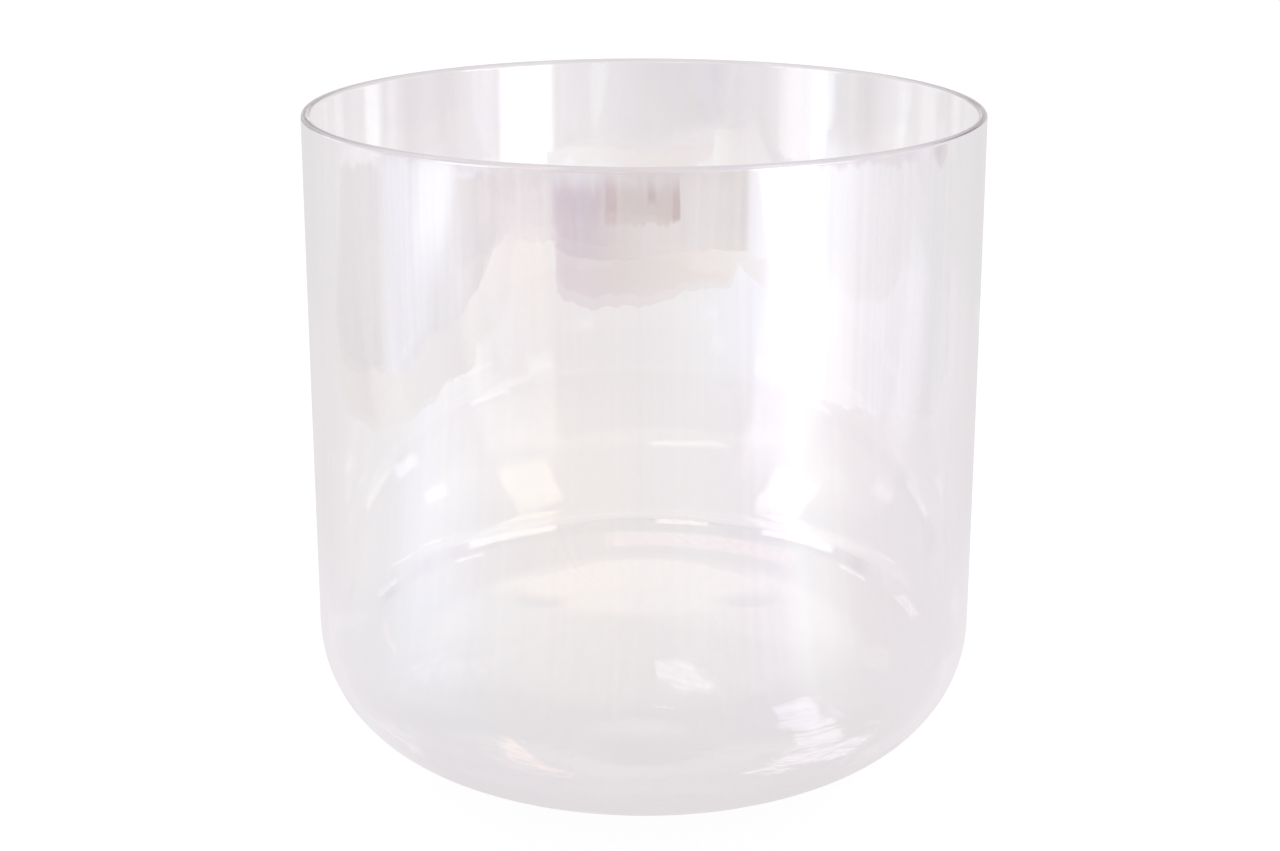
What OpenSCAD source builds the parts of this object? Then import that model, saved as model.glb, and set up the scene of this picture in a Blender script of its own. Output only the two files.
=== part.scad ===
// Crystal singing bowl: one length of drawn fused-quartz tube, closed at one end by heat.
// The profile runs up from a small flat on the base, through a shallow crown and a tighter
// knuckle, into a parallel-sided wall that ends in a full-round lip.
// Millimetres, +Z up, origin at the centre of the flat on which the bowl rests.

/* [Body] */
// Outer diameter of the tube
outer_d = 254; // [220:1:360]
// Height from the resting flat to the top of the lip
height = 261.5; // [180:0.5:400]
// Thickness of the quartz, the same from lip to base
wall_t = 3.2; // [2:0.1:6]

/* [Base] */
// Outer radius of the knuckle that turns the wall into the base
knuckle_r = 49.5; // [30:0.5:60]
// Outer radius of the shallow crown that closes the base
crown_r = 251; // [220:1:400]
// Diameter of the flat on which the bowl rests
foot_d = 50; // [30:1:60]

/* [Hidden] */

// Sides of every drawn circle
round_fn = 240;
// Length of the crown's wedge, past the largest circle
reach = 2 * crown_r;

outer_r = outer_d / 2;
foot_r = foot_d / 2;

// The crown's centre lies on the axis, at the height where its sphere meets the foot's edge
crown_z = sqrt(crown_r * crown_r - foot_r * foot_r);

// The knuckle touches the wall and the crown without a kink, which fixes its centre
knuckle_x = outer_r - knuckle_r;
knuckle_z = crown_z - sqrt(pow(crown_r - knuckle_r, 2) - knuckle_x * knuckle_x);

// Angle between the axis and the line through the crown's and the knuckle's centres
joint_angle = atan2(knuckle_x, crown_z - knuckle_z);

// Full-round lip: half the wall's thickness
lip_r = wall_t / 2;
lip_z = height - lip_r;

// Wedge of the crown's disc, between the axis and its joint with the knuckle
module crown_wedge(inset) {
    translate([0, crown_z])
        intersection() {
            circle(r = crown_r - inset, $fn = round_fn);
            polygon([
                [0, 0],
                [0, -reach],
                [reach * sin(joint_angle), -reach * cos(joint_angle)]
            ]);
        }
}

// Half of the bowl's filled outline, without its lip, shrunk all round by an inset
module vessel_outline(inset) {
    crown_wedge(inset);
    translate([knuckle_x, knuckle_z])
        circle(r = knuckle_r - inset, $fn = round_fn);
    translate([0, knuckle_z])
        square([outer_r - inset, lip_z - knuckle_z]);
}

// Wall, knuckle and crown as one even skin, cut level at the resting plane
module skin_profile() {
    intersection() {
        difference() {
            vessel_outline(0);
            vessel_outline(wall_t);
        }
        square([outer_r, lip_z]);
    }
}

// Fire-polished lip
module lip_profile() {
    translate([outer_r - lip_r, lip_z])
        circle(r = lip_r, $fn = round_fn);
}

// Flattened middle of the base, as thick as the wall
module foot_profile() {
    square([foot_r, wall_t]);
}

module bowl() {
    color("lavenderblush", 0.35)
        rotate_extrude($fn = round_fn) {
            skin_profile();
            lip_profile();
            foot_profile();
        }
}

bowl();
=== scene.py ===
"""Singing bowl of clear, faintly iridescent fused quartz, on a white sheet in a pale studio."""

import math

import bpy
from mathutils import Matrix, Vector, noise


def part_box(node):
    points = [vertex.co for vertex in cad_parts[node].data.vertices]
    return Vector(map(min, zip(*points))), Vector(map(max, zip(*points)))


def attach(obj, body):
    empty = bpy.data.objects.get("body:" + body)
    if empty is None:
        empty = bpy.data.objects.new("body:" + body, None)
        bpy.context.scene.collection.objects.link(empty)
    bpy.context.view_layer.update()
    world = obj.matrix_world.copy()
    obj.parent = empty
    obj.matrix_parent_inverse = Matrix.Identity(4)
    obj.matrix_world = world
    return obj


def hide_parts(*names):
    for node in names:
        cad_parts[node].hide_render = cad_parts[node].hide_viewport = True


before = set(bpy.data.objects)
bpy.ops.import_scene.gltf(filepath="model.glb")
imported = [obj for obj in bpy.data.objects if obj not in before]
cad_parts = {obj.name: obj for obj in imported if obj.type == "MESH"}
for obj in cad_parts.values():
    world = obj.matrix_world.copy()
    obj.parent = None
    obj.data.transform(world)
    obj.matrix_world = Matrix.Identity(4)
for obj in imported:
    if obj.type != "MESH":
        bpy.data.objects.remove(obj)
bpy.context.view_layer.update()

MM = 0.001

# ---------------------------------------------------------------- the bowl's own sizes, in metres
LOW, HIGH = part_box("bowl")
OUTER_R = (HIGH[0] - LOW[0]) / 2
HEIGHT = HIGH[2] - LOW[2]
WALL_T = 3.2 * MM
KNUCKLE_R = 49.5 * MM
CROWN_R = 251 * MM
FOOT_R = 25 * MM

CROWN_Z = math.sqrt(CROWN_R**2 - FOOT_R**2)
KNUCKLE_X = OUTER_R - KNUCKLE_R
KNUCKLE_Z = CROWN_Z - math.sqrt((CROWN_R - KNUCKLE_R) ** 2 - KNUCKLE_X**2)
JOINT_ANGLE = math.atan2(KNUCKLE_X, CROWN_Z - KNUCKLE_Z)
LIP_R = WALL_T / 2
LIP_Z = HEIGHT - LIP_R

# Mesh density: steps round the bowl, and rings along each stretch of the profile
SEGMENTS = 480
FOOT_RINGS, CROWN_RINGS, KNUCKLE_RINGS, WALL_RINGS, LIP_RINGS = 12, 16, 30, 31, 20

# The edge of the foot's flat is melted soft: out to this radius, the flat and the crown blend
# over this depth
SOFT_R = 48 * MM
SOFT_DEPTH = 0.9 * MM

# How deep each kind of unevenness presses the skins in
BODY_WAVE = 0.30 * MM
DRAW_LINES = 0.05 * MM
MARK_DEPTH = 0.10 * MM
DENT_DEPTH = 0.09 * MM
CREASE_DEPTH = 0.035 * MM
INNER_WAVE = 0.12 * MM
INNER_RIPPLES = 0.10 * MM
OUTER_RIPPLES = 0.06 * MM
LIP_WAVE = 0.12 * MM


# ---------------------------------------------------------------- shape
def smoothstep(a, b, x):
    t = min(max((x - a) / (b - a), 0.0), 1.0)
    return t * t * (3 - 2 * t)


def steps(count):
    """Fractions after 0, up to and including 1."""
    return [(i + 1) / count for i in range(count)]


def skin_profile(inset):
    """Points (r, z, normal r, normal z) from the base's centre up the wall, moved in by inset."""
    out = []
    for k in [0.0] + steps(FOOT_RINGS):
        r = SOFT_R * k
        drop = math.sqrt(CROWN_R**2 - r**2)
        swell = math.exp((CROWN_Z - drop) / SOFT_DEPTH)
        z = SOFT_DEPTH * math.log(1 + swell)
        tilt = math.atan(swell / (1 + swell) * r / drop)
        ct, st = math.cos(tilt), math.sin(tilt)
        out.append((r - inset * st, z + inset * ct, st, -ct))
    soft_edge = math.asin(SOFT_R / CROWN_R)
    for k in steps(CROWN_RINGS):
        a = soft_edge + (JOINT_ANGLE - soft_edge) * k
        r = CROWN_R - inset
        ca, sa = math.cos(a), math.sin(a)
        out.append((r * sa, CROWN_Z - r * ca, sa, -ca))
    for k in steps(KNUCKLE_RINGS):
        a = JOINT_ANGLE + (math.pi / 2 - JOINT_ANGLE) * k
        r = KNUCKLE_R - inset
        ca, sa = math.cos(a), math.sin(a)
        out.append((KNUCKLE_X + r * sa, KNUCKLE_Z - r * ca, sa, -ca))
    # A last short step keeps the lip's round from shading the wall below it
    under_lip = LIP_Z - 0.4 * MM
    for k in steps(WALL_RINGS):
        out.append((OUTER_R - inset, KNUCKLE_Z + (under_lip - KNUCKLE_Z) * k, 1.0, 0.0))
    out.append((OUTER_R - inset, LIP_Z, 1.0, 0.0))
    return out


def lip_profile():
    """The lip's round, between the outer and the inner skin."""
    out = []
    for k in steps(LIP_RINGS)[:-1]:
        a = math.pi * k
        ca, sa = math.cos(a), math.sin(a)
        out.append((OUTER_R - LIP_R + LIP_R * ca, LIP_Z + LIP_R * sa, ca, sa))
    return out


def body_wave(p):
    """Slow unevenness of hand-worked quartz, 0 to 1: the same on both skins."""
    broad = noise.noise(Vector((p[0] * 14, p[1] * 14, p[2] * 9)))
    return 0.5 + 0.5 * broad


def draw_lines(p):
    """Lines that the tube was drawn along: fine round the bowl, long in height, 0 to 1."""
    fine = noise.noise(Vector((p[0] * 120, p[1] * 120, p[2] * 4 + 7)))
    broad = noise.noise(Vector((p[0] * 45, p[1] * 45, p[2] * 2.5 + 3)))
    return 0.5 + 0.25 * fine + 0.25 * broad


def ripples(p):
    """Rings left where the base was turned and closed, 0 to 1."""
    r = math.hypot(p[0], p[1])
    turn = noise.noise(Vector((p[0] * 12, p[1] * 12, 5)))
    return 0.5 + 0.5 * noise.noise(Vector((r * 190, p[2] * 190, turn * 1.5)))


def dents(p, inner):
    """Small hollows left by the flame where the knuckle was turned, 0 to 1."""
    return 0.5 + 0.5 * noise.noise(Vector((p[0] * 75, p[1] * 75, p[2] * 75 + (9 if inner else 0))))


def creases(p):
    """Folds that fan out from the middle of the base, 0 to 1."""
    r = max(math.hypot(p[0], p[1]), 1e-6)
    return 0.5 + 0.5 * noise.noise(Vector((p[0] / r * 15, p[1] / r * 15, r * 25)))


# Where the wall was worked uneven: azimuth in degrees from the front, height, half width and
# half height
MARKS = [
    (-26, 252 * MM, 7 * MM, 10 * MM),
    (-22, 222 * MM, 4 * MM, 26 * MM),
    (-173, 247 * MM, 8 * MM, 12 * MM),
    (161, 252 * MM, 6 * MM, 6 * MM),
]


def marks(p):
    """Wavy streaks in the wall at the marks, 0 to 1."""
    streaks = 0.5 + 0.5 * noise.noise(Vector((p[0] * 210, p[1] * 210, p[2] * 90)))
    near = 0.0
    for azimuth, height, half_width, half_height in MARKS:
        a = math.radians(azimuth)
        away = math.hypot(p[0] - OUTER_R * math.sin(a), p[1] + OUTER_R * math.cos(a)) / half_width
        near = max(near, math.exp(-away**2 - ((p[2] - height) / half_height) ** 2))
    return near * streaks


def sink(p, inner):
    """How far a point moves in, in metres: on the outer skin into the wall, on the inner one off it."""
    r, z = math.hypot(p[0], p[1]), p[2]
    on_wall = smoothstep(KNUCKLE_Z * 0.7, KNUCKLE_Z * 1.4, z)
    off_foot = smoothstep(FOOT_R, FOOT_R * 1.8, r)
    under_wall = 1 - smoothstep(KNUCKLE_Z * 0.8, KNUCKLE_Z * 1.5, z)
    in_turn = smoothstep(FOOT_R * 0.6, FOOT_R * 2.2, r) * under_wall
    depth = BODY_WAVE * body_wave(p) * off_foot
    depth += DRAW_LINES * draw_lines(p) * on_wall
    depth += MARK_DEPTH * marks(p) * on_wall
    depth += DENT_DEPTH * dents(p, inner) * smoothstep(FOOT_R * 2, FOOT_R * 3.2, r) * under_wall
    depth += CREASE_DEPTH * creases(p) * smoothstep(FOOT_R * 0.3, FOOT_R, r) * under_wall
    if inner:
        q = Vector(p) + Vector((3.1, 0.7, 0))
        depth += INNER_WAVE * noise.noise(q * 22)
        depth += INNER_RIPPLES * ripples(p) * in_turn
    else:
        depth += OUTER_RIPPLES * ripples(p) * in_turn
    return depth


def bowl_mesh():
    """The bowl as one closed skin: rings up the outside, over the lip and down the inside."""
    outer = skin_profile(0.0)
    inner = skin_profile(WALL_T)
    rings = outer[1:] + lip_profile() + inner[:0:-1]
    lip_start, lip_end = len(outer) - 1, len(outer) - 1 + LIP_RINGS - 1
    verts, faces = [], []
    for i, (r, z, nr, nz) in enumerate(rings):
        for j in range(SEGMENTS):
            a = 2 * math.pi * j / SEGMENTS
            ca, sa = math.cos(a), math.sin(a)
            p = (r * ca, r * sa, z)
            if lip_start <= i < lip_end:
                # The lip moves in as one with the top of the outer skin
                d = sink((OUTER_R * ca, OUTER_R * sa, LIP_Z), False)
                move = (-ca * d, -sa * d, -LIP_WAVE * body_wave((p[1], p[0], z)))
            else:
                d = sink(p, i >= lip_end)
                move = (-nr * ca * d, -nr * sa * d, -nz * d)
            verts.append((p[0] + move[0], p[1] + move[1], p[2] + move[2]))
    for i in range(len(rings) - 1):
        for j in range(SEGMENTS):
            k = (j + 1) % SEGMENTS
            a, b = i * SEGMENTS, (i + 1) * SEGMENTS
            faces.append((a + j, a + k, b + k, b + j))
    last = (len(rings) - 1) * SEGMENTS
    foot, floor = len(verts), len(verts) + 1
    verts += [(0.0, 0.0, outer[0][1]), (0.0, 0.0, inner[0][1])]
    for j in range(SEGMENTS):
        k = (j + 1) % SEGMENTS
        faces.append((foot, k, j))
        faces.append((floor, last + j, last + k))
    mesh = bpy.data.meshes.new("quartz_bowl")
    mesh.from_pydata(verts, [], faces)
    mesh.validate()
    mesh.shade_smooth()
    return mesh


# ---------------------------------------------------------------- quartz
# The film's least thickness in nanometres, and what a slow drift and the draw lines may add to it:
# the noise's scale, its detail, and the most it adds
FILM_LEAST = 25.0
FILM_DRIFT = (11.0, 2.0, 44.0)
FILM_LINES = (170.0, 3.0, 30.0)


def quartz_material():
    """Clear quartz under a thin film whose thickness drifts, and changes in fine lines up the wall."""
    mat = bpy.data.materials.new("quartz")
    mat.use_nodes = True
    nodes, links = mat.node_tree.nodes, mat.node_tree.links
    shader = nodes["Principled BSDF"]
    shader.inputs["Base Color"].default_value = (0.99, 0.983, 0.985, 1)
    shader.inputs["Roughness"].default_value = 0.0
    shader.inputs["IOR"].default_value = 1.46
    shader.inputs["Transmission Weight"].default_value = 1.0
    shader.inputs["Thin Film IOR"].default_value = 2.2

    coords = nodes.new("ShaderNodeTexCoord")
    stretch = nodes.new("ShaderNodeMapping")
    stretch.inputs["Scale"].default_value = (1, 1, 0.03)
    links.new(coords.outputs["Object"], stretch.inputs["Vector"])
    s = Sums(mat.node_tree)
    thickness = FILM_LEAST
    for vector, (scale, detail, most) in (
        (coords.outputs["Object"], FILM_DRIFT),
        (stretch.outputs["Vector"], FILM_LINES),
    ):
        drift = nodes.new("ShaderNodeTexNoise")
        drift.inputs["Scale"].default_value = scale
        drift.inputs["Detail"].default_value = detail
        links.new(vector, drift.inputs["Vector"])
        thickness = s.op("MULTIPLY_ADD", drift.outputs["Fac"], most, thickness)
    links.new(thickness, shader.inputs["Thin Film Thickness"])
    return mat


# ---------------------------------------------------------------- camera
def make_camera():
    """Stands in front of the bowl, a little above its lip, looking slightly down."""
    data = bpy.data.cameras.new("camera")
    data.lens = 67.74
    data.sensor_width = 36
    cam = bpy.data.objects.new("camera", data)
    bpy.context.scene.collection.objects.link(cam)
    cam.location = (-0.0114 * OUTER_R, -7.032 * OUTER_R, HEIGHT + 1.119 * OUTER_R)
    cam.rotation_euler = (math.pi / 2 - 0.29, 0, 0)
    bpy.context.scene.camera = cam


# ---------------------------------------------------------------- stage
class Sums:
    """Short names for node arithmetic. A value is a number, a colour or another node's output."""

    def __init__(self, tree):
        self.nodes, self.links = tree.nodes, tree.links

    def put(self, socket, value):
        if isinstance(value, bpy.types.NodeSocket):
            self.links.new(value, socket)
        else:
            socket.default_value = value

    def op(self, name, a, b=0.0, c=0.0):
        node = self.nodes.new("ShaderNodeMath")
        node.operation = name
        for socket, value in zip(node.inputs, (a, b, c)):
            self.put(socket, value)
        return node.outputs[0]

    def step(self, x, start, end):
        """0 before start, 1 after end, smooth between."""
        node = self.nodes.new("ShaderNodeMapRange")
        node.interpolation_type = "SMOOTHSTEP"
        for name, value in zip(("Value", "From Min", "From Max"), (x, start, end)):
            self.put(node.inputs[name], value)
        return node.outputs["Result"]

    def band(self, x, low, high, soft):
        """1 between low and high, fading over soft on each side."""
        rise = self.step(x, self.op("SUBTRACT", low, soft), low)
        fall = self.step(x, high, self.op("ADD", high, soft))
        return self.op("MULTIPLY", rise, self.op("SUBTRACT", 1.0, fall))

    def noise(self, dimensions, at, scale, detail=2.0):
        """Smooth noise, about -1 to 1, at a point or, in one dimension, at a number."""
        node = self.nodes.new("ShaderNodeTexNoise")
        node.noise_dimensions = dimensions
        self.put(node.inputs["W" if dimensions == "1D" else "Vector"], at)
        node.inputs["Scale"].default_value = scale
        node.inputs["Detail"].default_value = detail
        return self.op("MULTIPLY_ADD", node.outputs[0], 4.0, -2.0)

    def ramp(self, turn, tones):
        """Tones given by azimuth in degrees, looked up by a turn from 0 at -180 degrees to 1 at +180."""
        node = self.nodes.new("ShaderNodeValToRGB")
        self.put(node.inputs[0], turn)
        stops = node.color_ramp.elements
        for i, (degrees, tone) in enumerate(tones):
            place = (degrees + 180) / 360
            stop = stops[i] if i < 2 else stops.new(place)
            stop.position = place
            stop.color = (*tone, 1)
        return node.outputs["Color"]

    def azimuth(self, x, y):
        """Degrees from the front, + towards +X."""
        return self.op("MULTIPLY", self.op("ARCTAN2", x, self.op("MULTIPLY", y, -1.0)), 180 / math.pi)

    def scale(self, tone, factor):
        """A tone made lighter or darker by a factor."""
        node = self.nodes.new("ShaderNodeVectorMath")
        node.operation = "SCALE"
        self.put(node.inputs[0], tone)
        self.put(node.inputs["Scale"], factor)
        return node.outputs[0]

    def blend(self, factor, a, b):
        """Colour a at factor 0, and b at 1."""
        node = self.nodes.new("ShaderNodeMix")
        node.data_type = "RGBA"
        self.put(node.inputs[0], factor)
        self.put(node.inputs[6], a)
        self.put(node.inputs[7], b)
        return node.outputs[2]


# Counts on a ray's way, each halfway between two whole numbers: more skins crossed than this means
# that it has been inside the bowl, and more turns than this that it was guided round in the wall
SKINS_OF_ONE_WALL = 3.5
GUIDED_TURNS = 9.5

# The sheet's tone as the quartz reflects it, by azimuth in degrees from the front, + towards +X:
# painted sheen makes it lighter towards the two windows. Near the bowl
SHEET_NEAR = [
    (-180, (0.80, 0.77, 0.78)),
    (-120, (0.80, 0.77, 0.79)),
    (-98, (0.93, 0.91, 0.92)),
    (-84, (0.92, 0.91, 0.94)),
    (-70, (1.13, 1.13, 1.19)),
    (-60, (1.10, 1.08, 1.14)),
    (-48, (0.96, 0.93, 0.96)),
    (-38, (0.94, 0.90, 0.88)),
    (-28, (0.94, 0.88, 0.84)),
    (-10, (0.92, 0.87, 0.83)),
    (2, (0.88, 0.84, 0.84)),
    (12, (0.91, 0.89, 0.90)),
    (30, (0.90, 0.86, 0.92)),
    (40, (1.00, 0.96, 1.06)),
    (46, (1.20, 1.18, 1.22)),
    (57, (1.06, 1.02, 1.04)),
    (66, (0.88, 0.82, 0.86)),
    (80, (0.82, 0.77, 0.81)),
    (115, (0.78, 0.75, 0.78)),
    (180, (0.80, 0.77, 0.78)),
]

# Further off
SHEET_FAR = [
    (-180, (0.78, 0.76, 0.77)),
    (-110, (0.76, 0.74, 0.75)),
    (-80, (0.95, 0.94, 0.97)),
    (-60, (1.14, 1.14, 1.20)),
    (-52, (0.94, 0.92, 0.96)),
    (-46, (0.76, 0.72, 0.74)),
    (-40, (0.70, 0.64, 0.64)),
    (-27, (0.82, 0.76, 0.73)),
    (-12, (0.82, 0.77, 0.76)),
    (2, (0.82, 0.79, 0.81)),
    (14, (0.90, 0.89, 0.94)),
    (24, (0.96, 0.97, 1.06)),
    (36, (1.08, 1.08, 1.22)),
    (54, (1.24, 1.22, 1.30)),
    (62, (0.92, 0.88, 0.93)),
    (74, (0.86, 0.82, 0.88)),
    (96, (0.74, 0.72, 0.75)),
    (180, (0.78, 0.76, 0.77)),
]

# The bare table round the sheet's torn front edge, as the quartz reflects it: darker in front, and
# lighter towards the two windows with painted sheen
TABLE = [
    (-180, (0.78, 0.75, 0.74)),
    (-98, (0.78, 0.74, 0.71)),
    (-88, (0.90, 0.86, 0.84)),
    (-78, (0.97, 0.93, 0.92)),
    (-66, (0.92, 0.87, 0.87)),
    (-54, (0.82, 0.77, 0.78)),
    (-47, (0.72, 0.67, 0.68)),
    (-40, (0.60, 0.52, 0.54)),
    (-28, (0.50, 0.37, 0.42)),
    (-8, (0.56, 0.44, 0.44)),
    (8, (0.68, 0.58, 0.57)),
    (26, (0.84, 0.78, 0.74)),
    (40, (1.06, 1.02, 1.08)),
    (180, (0.78, 0.75, 0.74)),
]

# Light that the bowl gathers on the sheet, which its far wall reflects: azimuth from, to and softness;
# distance from, to and softness, in metres; and the tone
GATHERED = [
    ((46, 76, 8), (0.24, 0.70, 0.12), (1.38, 1.36, 1.32)),
    ((-88, -56, 8), (0.22, 0.70, 0.12), (1.62, 1.58, 1.72)),
    ((54, 77, 4), (0.098, 0.158, 0.012), (1.75, 1.66, 1.40)),
    ((-96, -74, 4), (0.099, 0.154, 0.010), (2.1, 2.1, 2.2)),
    ((-42, -6, 6), (0.168, 0.174, 0.004), (1.6, 1.6, 1.5)),
    ((-130, -88, 10), (0.22, 0.70, 0.12), (1.14, 1.08, 1.14)),
    ((120, 130, 4), (0.236, 0.256, 0.008), (1.7, 1.7, 1.8)),
    ((110, 119, 4), (0.166, 0.180, 0.007), (1.7, 1.7, 1.8)),
    ((-136, -127, 4), (0.198, 0.214, 0.007), (1.7, 1.6, 1.8)),
]


def floor_tone(s, shine):
    """White to the camera. Through or in the quartz it shows painted shade: pale grey by the bowl,
    lighter further off.
    """
    coords = s.nodes.new("ShaderNodeTexCoord")
    split = s.nodes.new("ShaderNodeSeparateXYZ")
    path = s.nodes.new("ShaderNodeLightPath")
    s.links.new(coords.outputs["Object"], split.inputs[0])
    x, y, z = split.outputs
    squares = s.op("ADD", s.op("MULTIPLY", x, x), s.op("MULTIPLY", y, y))
    distance = s.op("SQRT", squares)
    # The bowl's own shade is bluer on its left and lighter on its right, and ends on a slanted line
    # behind its base
    slant = s.op("MULTIPLY_ADD", x, 0.44, y)
    middle = s.blend(s.step(slant, 0.02, 0.08), (0.755, 0.73, 0.735, 1), (0.73, 0.705, 0.71, 1))
    shade = s.blend(s.step(x, -0.07, 0.0), (0.768, 0.77, 0.80, 1), middle)
    shade = s.blend(s.step(x, 0.06, 0.11), shade, (0.795, 0.77, 0.775, 1))
    through = s.blend(s.step(slant, 0.138, 0.150), shade, (0.81, 0.776, 0.773, 1))
    through = s.blend(s.step(distance, 0.19, 0.30), through, (0.84, 0.82, 0.825, 1))
    through = s.blend(s.step(distance, 0.50, 1.40), through, (0.95, 0.94, 0.945, 1))
    degrees = s.azimuth(x, y)
    turn = s.op("MULTIPLY_ADD", degrees, 1 / 360, 0.5)
    reflected = s.op("GREATER_THAN", path.outputs["Glossy Depth"], 0.5)
    deep = s.op("GREATER_THAN", path.outputs["Transmission Depth"], SKINS_OF_ONE_WALL)
    tone = s.blend(reflected, through, shine(s, degrees, turn, distance, deep))
    return s.blend(path.outputs["Is Camera Ray"], tone, (1.07, 1.07, 1.07, 1)), path


def sheet_shine(s, degrees, turn, distance, deep):
    """The sheet as the quartz reflects it, with painted shade and sheen: in the bowl's own shade, then
    near it, then further off.
    """
    shine = s.blend(s.step(distance, 0.68, 0.92), s.ramp(turn, SHEET_NEAR), s.ramp(turn, SHEET_FAR))
    shine = s.scale(shine, s.op("MULTIPLY_ADD", s.noise("1D", degrees, 0.45), 0.035, 1.0))
    # Painted shade of the bowl on the sheet close by, darker in front
    sides = s.step(s.op("ABSOLUTE", degrees), 50.0, 90.0)
    close = s.blend(sides, (0.80, 0.77, 0.79, 1), (0.87, 0.84, 0.87, 1))
    shine = s.blend(s.step(distance, 0.14, 0.42), close, shine)
    for across, away, tone in GATHERED:
        inside = s.op("MULTIPLY", s.band(degrees, *across), s.band(distance, *away))
        shine = s.blend(s.op("MULTIPLY", inside, deep), shine, (*tone, 1))
    return shine


def table_shine(s, degrees, turn, distance, deep):
    """The table as the quartz reflects it."""
    return s.ramp(turn, TABLE)


def floor_piece(name, corners, z, shine, reflected=True):
    """One flat piece of the floor: a sheet that reflections see, or a surround that they don't."""
    mesh = bpy.data.meshes.new(name)
    mesh.from_pydata([(x, y, z) for x, y in corners], [], [tuple(range(len(corners)))])
    piece = bpy.data.objects.new(name, mesh)
    bpy.context.scene.collection.objects.link(piece)
    mat = bpy.data.materials.new(name)
    mat.use_nodes = True
    nodes, links = mat.node_tree.nodes, mat.node_tree.links
    nodes.clear()
    s = Sums(mat.node_tree)
    out = nodes.new("ShaderNodeOutputMaterial")
    mix = nodes.new("ShaderNodeMixShader")
    glow = nodes.new("ShaderNodeEmission")
    matt = nodes.new("ShaderNodeBsdfDiffuse")
    mix.inputs["Fac"].default_value = 0.12
    matt.inputs["Color"].default_value = (0.9, 0.9, 0.9, 1)
    tone, path = floor_tone(s, shine)
    links.new(tone, glow.inputs["Color"])
    links.new(glow.outputs[0], mix.inputs[1])
    links.new(matt.outputs[0], mix.inputs[2])
    surface = mix.outputs[0]
    if not reflected:
        hide = nodes.new("ShaderNodeMixShader")
        clear = nodes.new("ShaderNodeBsdfTransparent")
        links.new(s.op("GREATER_THAN", path.outputs["Glossy Depth"], 0.5), hide.inputs["Fac"])
        links.new(surface, hide.inputs[1])
        links.new(clear.outputs[0], hide.inputs[2])
        surface = hide.outputs[0]
    links.new(surface, out.inputs["Surface"])
    mesh.materials.append(mat)


def torn(corners, start, end, step, depth):
    """An outline whose stretch from one corner to another is broken up as a torn edge is."""
    out = list(corners[:start])
    for (ax, ay), (bx, by) in zip(corners[start:end], corners[start + 1:end + 1]):
        length = math.hypot(bx - ax, by - ay)
        count = max(1, round(length / step))
        for i in range(count):
            x, y = ax + (bx - ax) * i / count, ay + (by - ay) * i / count
            coarse = noise.noise(Vector((x * 18, y * 18, 1.7)))
            fine = noise.noise(Vector((x * 70, y * 70, 4.1)))
            push = depth * (coarse + 0.6 * fine)
            out.append((x - push * (by - ay) / length, y + push * (bx - ax) / length))
    return out + list(corners[end:])


def make_floor():
    """A white sheet under the bowl, torn along its front edge, on a table, on a wide floor."""
    sheet = [
        (-2.2, 2.0), (-2.2, 0.9), (-1.09, 0.5), (-0.85, 0.45), (-0.64, 0.33), (-0.59, 0.22),
        (-0.62, 0.05), (-0.65, -0.12), (-0.68, -0.3), (-0.69, -0.41), (-0.66, -0.5), (-0.7, -0.54),
        (-0.67, -0.65), (-0.7, -0.76), (-0.78, -0.88), (-0.78, -0.95), (-0.68, -1.02),
        (-0.56, -1.09), (-0.47, -0.93), (-0.34, -0.95), (-0.1, -1.0), (0.09, -1.01), (0.23, -1.03),
        (0.36, -1.0), (0.46, -0.96), (0.56, -1.0), (0.58, -0.94), (0.64, -0.8), (0.62, -0.5),
        (0.62, -0.38), (0.66, -0.25), (0.67, -0.04), (0.62, 0.13), (0.64, 0.3), (0.85, 0.45),
        (1.09, 0.5), (2.2, 0.9), (2.2, 2.0),
    ]
    table = [
        (-1.2, 0.6), (-0.75, 0.4), (-0.68, 0.29), (-0.76, 0.05), (-0.77, -0.16), (-0.84, -0.29),
        (-0.82, -0.45), (-0.83, -0.6), (-0.84, -0.73), (-0.86, -0.88), (-0.82, -0.96),
        (-0.6, -1.06), (-0.42, -1.1), (-0.2, -1.15), (0.1, -1.18), (0.3, -1.16), (0.48, -1.1),
        (0.6, -1.03), (0.72, -0.9), (0.4, -0.6), (0.0, 0.6),
    ]
    floor_piece("sheet", torn(sheet, 3, len(sheet) - 4, 0.006, 0.016), -0.0002, sheet_shine)
    floor_piece("table", torn(table, 2, 19, 0.012, 0.010), -0.0006, table_shine)
    wide = 12.0
    corners = [(-wide, -wide), (wide, -wide), (wide, wide), (-wide, wide)]
    floor_piece("floor", corners, -0.001, table_shine, reflected=False)


# The room that reflections see, by azimuth as above: its lower part, just over the table's edge
ROOM_LOW = [
    (-180, (0.80, 0.77, 0.78)),
    (-124, (0.68, 0.66, 0.67)),
    (-98, (0.67, 0.65, 0.67)),
    (-92, (0.84, 0.83, 0.88)),
    (-80, (0.76, 0.75, 0.82)),
    (-66, (0.84, 0.83, 0.88)),
    (-61, (0.70, 0.68, 0.72)),
    (-57, (0.54, 0.52, 0.55)),
    (-50, (0.44, 0.41, 0.44)),
    (-44, (0.62, 0.56, 0.58)),
    (-32, (0.66, 0.59, 0.59)),
    (-27, (0.36, 0.25, 0.33)),
    (-18, (0.30, 0.20, 0.29)),
    (-10, (0.44, 0.35, 0.38)),
    (2, (0.60, 0.54, 0.55)),
    (14, (0.62, 0.59, 0.61)),
    (33, (0.66, 0.62, 0.61)),
    (36, (1.10, 1.08, 1.18)),
    (60, (1.20, 1.17, 1.26)),
    (68, (1.16, 1.12, 1.18)),
    (78, (0.92, 0.89, 0.96)),
    (98, (0.80, 0.78, 0.84)),
    (112, (0.72, 0.72, 0.76)),
    (180, (0.80, 0.77, 0.78)),
]

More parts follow.
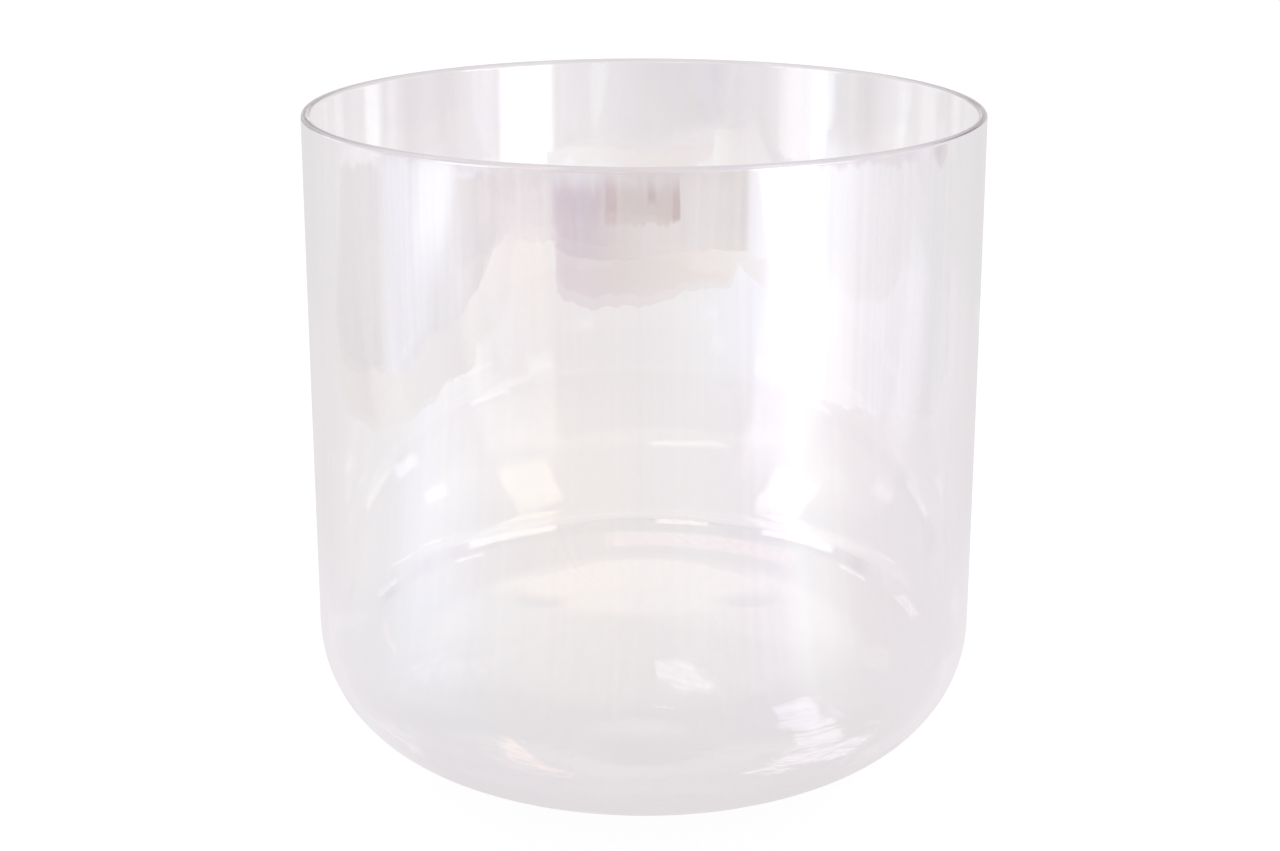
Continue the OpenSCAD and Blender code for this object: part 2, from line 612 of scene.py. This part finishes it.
# Its upper part
ROOM_HIGH = [
    (-180, (0.84, 0.81, 0.82)),
    (-135, (0.80, 0.77, 0.79)),
    (-118, (0.82, 0.79, 0.83)),
    (-106, (1.00, 0.97, 1.02)),
    (-98, (0.86, 0.84, 0.88)),
    (-90, (0.42, 0.40, 0.46)),
    (-83, (0.60, 0.58, 0.64)),
    (-76, (0.52, 0.50, 0.56)),
    (-48, (0.66, 0.63, 0.68)),
    (-40, (0.44, 0.41, 0.47)),
    (-34, (0.54, 0.51, 0.58)),
    (-28, (0.32, 0.28, 0.38)),
    (-21, (0.24, 0.20, 0.29)),
    (-10, (0.32, 0.30, 0.37)),
    (2, (0.43, 0.39, 0.46)),
    (14, (0.55, 0.51, 0.57)),
    (28, (0.74, 0.71, 0.76)),
    (60, (0.66, 0.60, 0.68)),
    (70, (0.74, 0.68, 0.76)),
    (76, (0.56, 0.48, 0.58)),
    (83, (0.72, 0.66, 0.74)),
    (94, (0.58, 0.52, 0.62)),
    (105, (0.84, 0.78, 0.86)),
    (113, (0.44, 0.38, 0.46)),
    (124, (0.84, 0.80, 0.84)),
    (180, (0.84, 0.81, 0.82)),
]

# Patches over the room: azimuth from, to and softness; elevation from, to and softness; the degrees
# that each end of the azimuths moves for each degree below the patch's top; and the tone
STILL = (0, 0)
PATCHES = [
    # Ceiling, warmer in front and overhead, with a darker strip under it in front
    ((-180, 180, 1), (10, 90, 4), STILL, (0.81, 0.78, 0.80)),
    ((-60, 60, 30), (46, 74, 12), STILL, (1.18, 1.11, 1.08)),
    ((-180, 180, 1), (77, 90, 8), STILL, (1.14, 1.08, 1.06)),
    ((-40, 40, 8), (1, 10, 3), STILL, (0.70, 0.66, 0.66)),
    # What stands in front of the table, with a dark frame inside it
    ((-27, -15, 3), (-11.3, -10.2, 0.5), STILL, (0.24, 0.13, 0.23)),
    ((-13, 11, 0.7), (-11.6, -10.2, 0.12), STILL, (0.34, 0.25, 0.26)),
    ((-12, -9, 1.2), (-11.6, -10.2, 0.12), STILL, (0.20, 0.06, 0.12)),
    ((2, 4, 0.7), (-11.1, -10.2, 0.2), STILL, (0.20, 0.08, 0.10)),
    ((9.5, 11, 0.7), (-11.6, -10.2, 0.12), STILL, (0.20, 0.08, 0.08)),
    # The windows as the far wall and the knuckle reflect them
    ((-66, -56, 8), (-10.2, -4, 0.2), STILL, (1.30, 1.28, 1.38)),
    ((-76, -48, 2), (-3, 1, 2), STILL, (2.1, 2.1, 2.2)),
    ((38, 51, 6), (-10.2, -4, 0.2), STILL, (2.2, 2.2, 2.25)),
    ((36, 68, 3), (-4, 2, 2), STILL, (2.0, 1.95, 1.9)),
    # The room is lighter low down in front
    ((-44, 26, 8), (-10.3, -9.9, 0.7), STILL, (0.55, 0.50, 0.53)),
]

# The windows as the near wall reflects them, in light that hasn't been inside the bowl
WINDOWS = [
    ((-90, -70, 9), (-14.9, -10.5, 1.2), (-0.4, -3.2), (0.90, 0.89, 0.97)),
    ((-76, -68, 6), (-11.6, -10.5, 1.8), (-1, -2), (1.16, 1.16, 1.22)),
    ((40.5, 55.5, 5), (-16.5, -10.5, 0.1), (2.8, 0.4), (2.2, 2.2, 2.25)),
]

# Painted highlights: patches of the room over the knuckle, in front and behind the bowl, which are seen
# in one reflection only and light nothing
PAINTED_HIGHLIGHTS = [
    ((-24, -6, 2), (-2.5, 1.5, 1), STILL, (2.1, 2.05, 2.0)),
    ((-58, 10, 8), (14, 24, 4), STILL, (1.55, 1.28, 1.32)),
    ((66, 77, 1.5), (9.6, 11.4, 0.8), STILL, (1.9, 1.9, 1.9)),
    ((109, 120, 2), (-1.6, 0.6, 0.8), STILL, (2.0, 2.0, 2.1)),
    ((139, 143, 2), (15, 25, 2), (-1.5, -1.5), (1.35, 1.12, 1.02)),
    ((-95, -84, 2), (9.3, 10.8, 0.8), STILL, (1.9, 1.9, 2.0)),
    ((-126, -113, 2), (2, 8, 1.5), (-0.8, -0.8), (1.7, 1.6, 1.75)),
    ((-177.8, -172.4, 1), (45, 54, 1.5), (0.25, 0.06), (1.6, 1.58, 1.68)),
    ((-179.5, -178, 0.4), (37, 38, 0.4), STILL, (1.6, 1.6, 1.7)),
    ((-169.8, -167.5, 0.4), (-1, 33, 1.5), (-0.25, -0.30), (2.0, 2.0, 2.2)),
    ((173.4, 174.6, 0.4), (3, 19, 1), (0.27, 0.23), (1.9, 1.55, 1.4)),
    ((154, 163, 3), (32, 40, 3), STILL, (1.05, 1.05, 1.12)),
    ((-152, -140, 4), (28, 36, 3), STILL, (1.08, 1.05, 1.0)),
]


def make_studio():
    """A pale studio: white round the bowl, and a room with two windows that only reflections see."""
    scene = bpy.context.scene
    scene.world = bpy.data.worlds.new("studio")
    scene.world.use_nodes = True
    tree = scene.world.node_tree
    tree.nodes.clear()
    s = Sums(tree)
    out = tree.nodes.new("ShaderNodeOutputWorld")
    background = tree.nodes.new("ShaderNodeBackground")
    coords = tree.nodes.new("ShaderNodeTexCoord")
    split = tree.nodes.new("ShaderNodeSeparateXYZ")
    path = tree.nodes.new("ShaderNodeLightPath")
    tree.links.new(coords.outputs["Generated"], split.inputs[0])
    x, y, z = split.outputs
    elevation = s.op("MULTIPLY", s.op("ARCSINE", z), 180 / math.pi)
    uneven = s.noise("3D", coords.outputs["Generated"], 16, 4)
    degrees = s.op("MULTIPLY_ADD", uneven, 0.8, s.azimuth(x, y))
    steady = s.op("MULTIPLY_ADD", uneven, 0.2, s.azimuth(x, y))
    height = s.op("MULTIPLY_ADD", uneven, 0.2, elevation)
    turn = s.op("MULTIPLY_ADD", degrees, 1 / 360, 0.5)
    room = s.blend(s.step(height, -10.4, -10.2), s.ramp(turn, ROOM_LOW), s.ramp(turn, ROOM_HIGH))
    outside = s.op("LESS_THAN", path.outputs["Transmission Depth"], SKINS_OF_ONE_WALL)
    once = s.op("LESS_THAN", path.outputs["Glossy Depth"], 1.5)
    # Slanted marks that break the painted highlights into pieces
    slanted = s.noise("1D", s.op("MULTIPLY_ADD", elevation, 0.8, steady), 0.7)
    highlight_strokes = s.step(slanted, -1.0, 0.3)
    for patches, shown in ((PATCHES, 1.0), (WINDOWS, outside), (PAINTED_HIGHLIGHTS, once)):
        for (start, end, soft), (low, high, fade), lean, tone in patches:
            if lean != STILL:
                drop = s.op("MAXIMUM", s.op("SUBTRACT", high, height), 0.0)
                start = s.op("MULTIPLY_ADD", drop, lean[0], start)
                end = s.op("MULTIPLY_ADD", drop, lean[1], end)
            across = s.band(steady if patches is PAINTED_HIGHLIGHTS else degrees, start, end, soft)
            inside = s.op("MULTIPLY", across, s.band(height, low, high, fade))
            if patches is PAINTED_HIGHLIGHTS:
                inside = s.op("MULTIPLY", inside, highlight_strokes)
            room = s.blend(s.op("MULTIPLY", inside, shown), room, (*tone, 1))
    # Fine upright streaks
    room = s.scale(room, s.op("MULTIPLY_ADD", s.noise("1D", degrees, 0.45), 0.07, 1.0))
    # Painted shade on the lip: reflections off the outside of the quartz see the room turn dark from 5
    # to 14 degrees up, and light guided far round inside the wall sees it a quarter of the way to dark
    outer = s.op("LESS_THAN", path.outputs["Transmission Depth"], 0.5)
    outer = s.op("MULTIPLY", outer, s.step(elevation, 5.0, 14.0))
    guided = s.op("GREATER_THAN", path.outputs["Ray Depth"], GUIDED_TURNS)
    # Painted shade: how far the room is turned dark
    painted_darkening = s.op("MAXIMUM", outer, s.op("MULTIPLY", guided, 0.25))
    room = s.blend(painted_darkening, room, (0.48, 0.44, 0.48, 1))

    # Painted shade: what looks straight through the quartz sees white, but for a ceiling, dark in the
    # middle, that the camera and diffuse light never see
    above = s.step(elevation, 25.0, 50.0)
    sideways = s.step(s.op("ABSOLUTE", x), 0.15, 0.45)
    ceiling = s.blend(sideways, (0.30, 0.24, 0.32, 1), (0.62, 0.58, 0.62, 1))
    behind = s.blend(above, (0.95, 0.94, 0.945, 1), ceiling)

    reflected = s.op("GREATER_THAN", path.outputs["Glossy Depth"], 0.5)
    seen = s.blend(reflected, behind, room)
    white = (1.0, 1.0, 1.0, 1)
    seen = s.blend(path.outputs["Is Diffuse Ray"], seen, white)
    seen = s.blend(path.outputs["Is Camera Ray"], seen, white)
    tree.links.new(seen, background.inputs["Color"])
    tree.links.new(background.outputs[0], out.inputs["Surface"])
    scene.view_settings.view_transform = "Standard"


# ---------------------------------------------------------------- build
bowl = bpy.data.objects.new("quartz_bowl", bowl_mesh())
bpy.context.scene.collection.objects.link(bowl)
bowl.data.materials.append(quartz_material())
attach(bowl, "root")
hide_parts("bowl")

make_floor()
make_studio()
make_camera()

cycles = bpy.context.scene.cycles
# Light that enters the lip is guided round inside the wall, so it needs many bounces to get out again
cycles.max_bounces = 1024
cycles.glossy_bounces = 1024
cycles.transmission_bounces = 1024
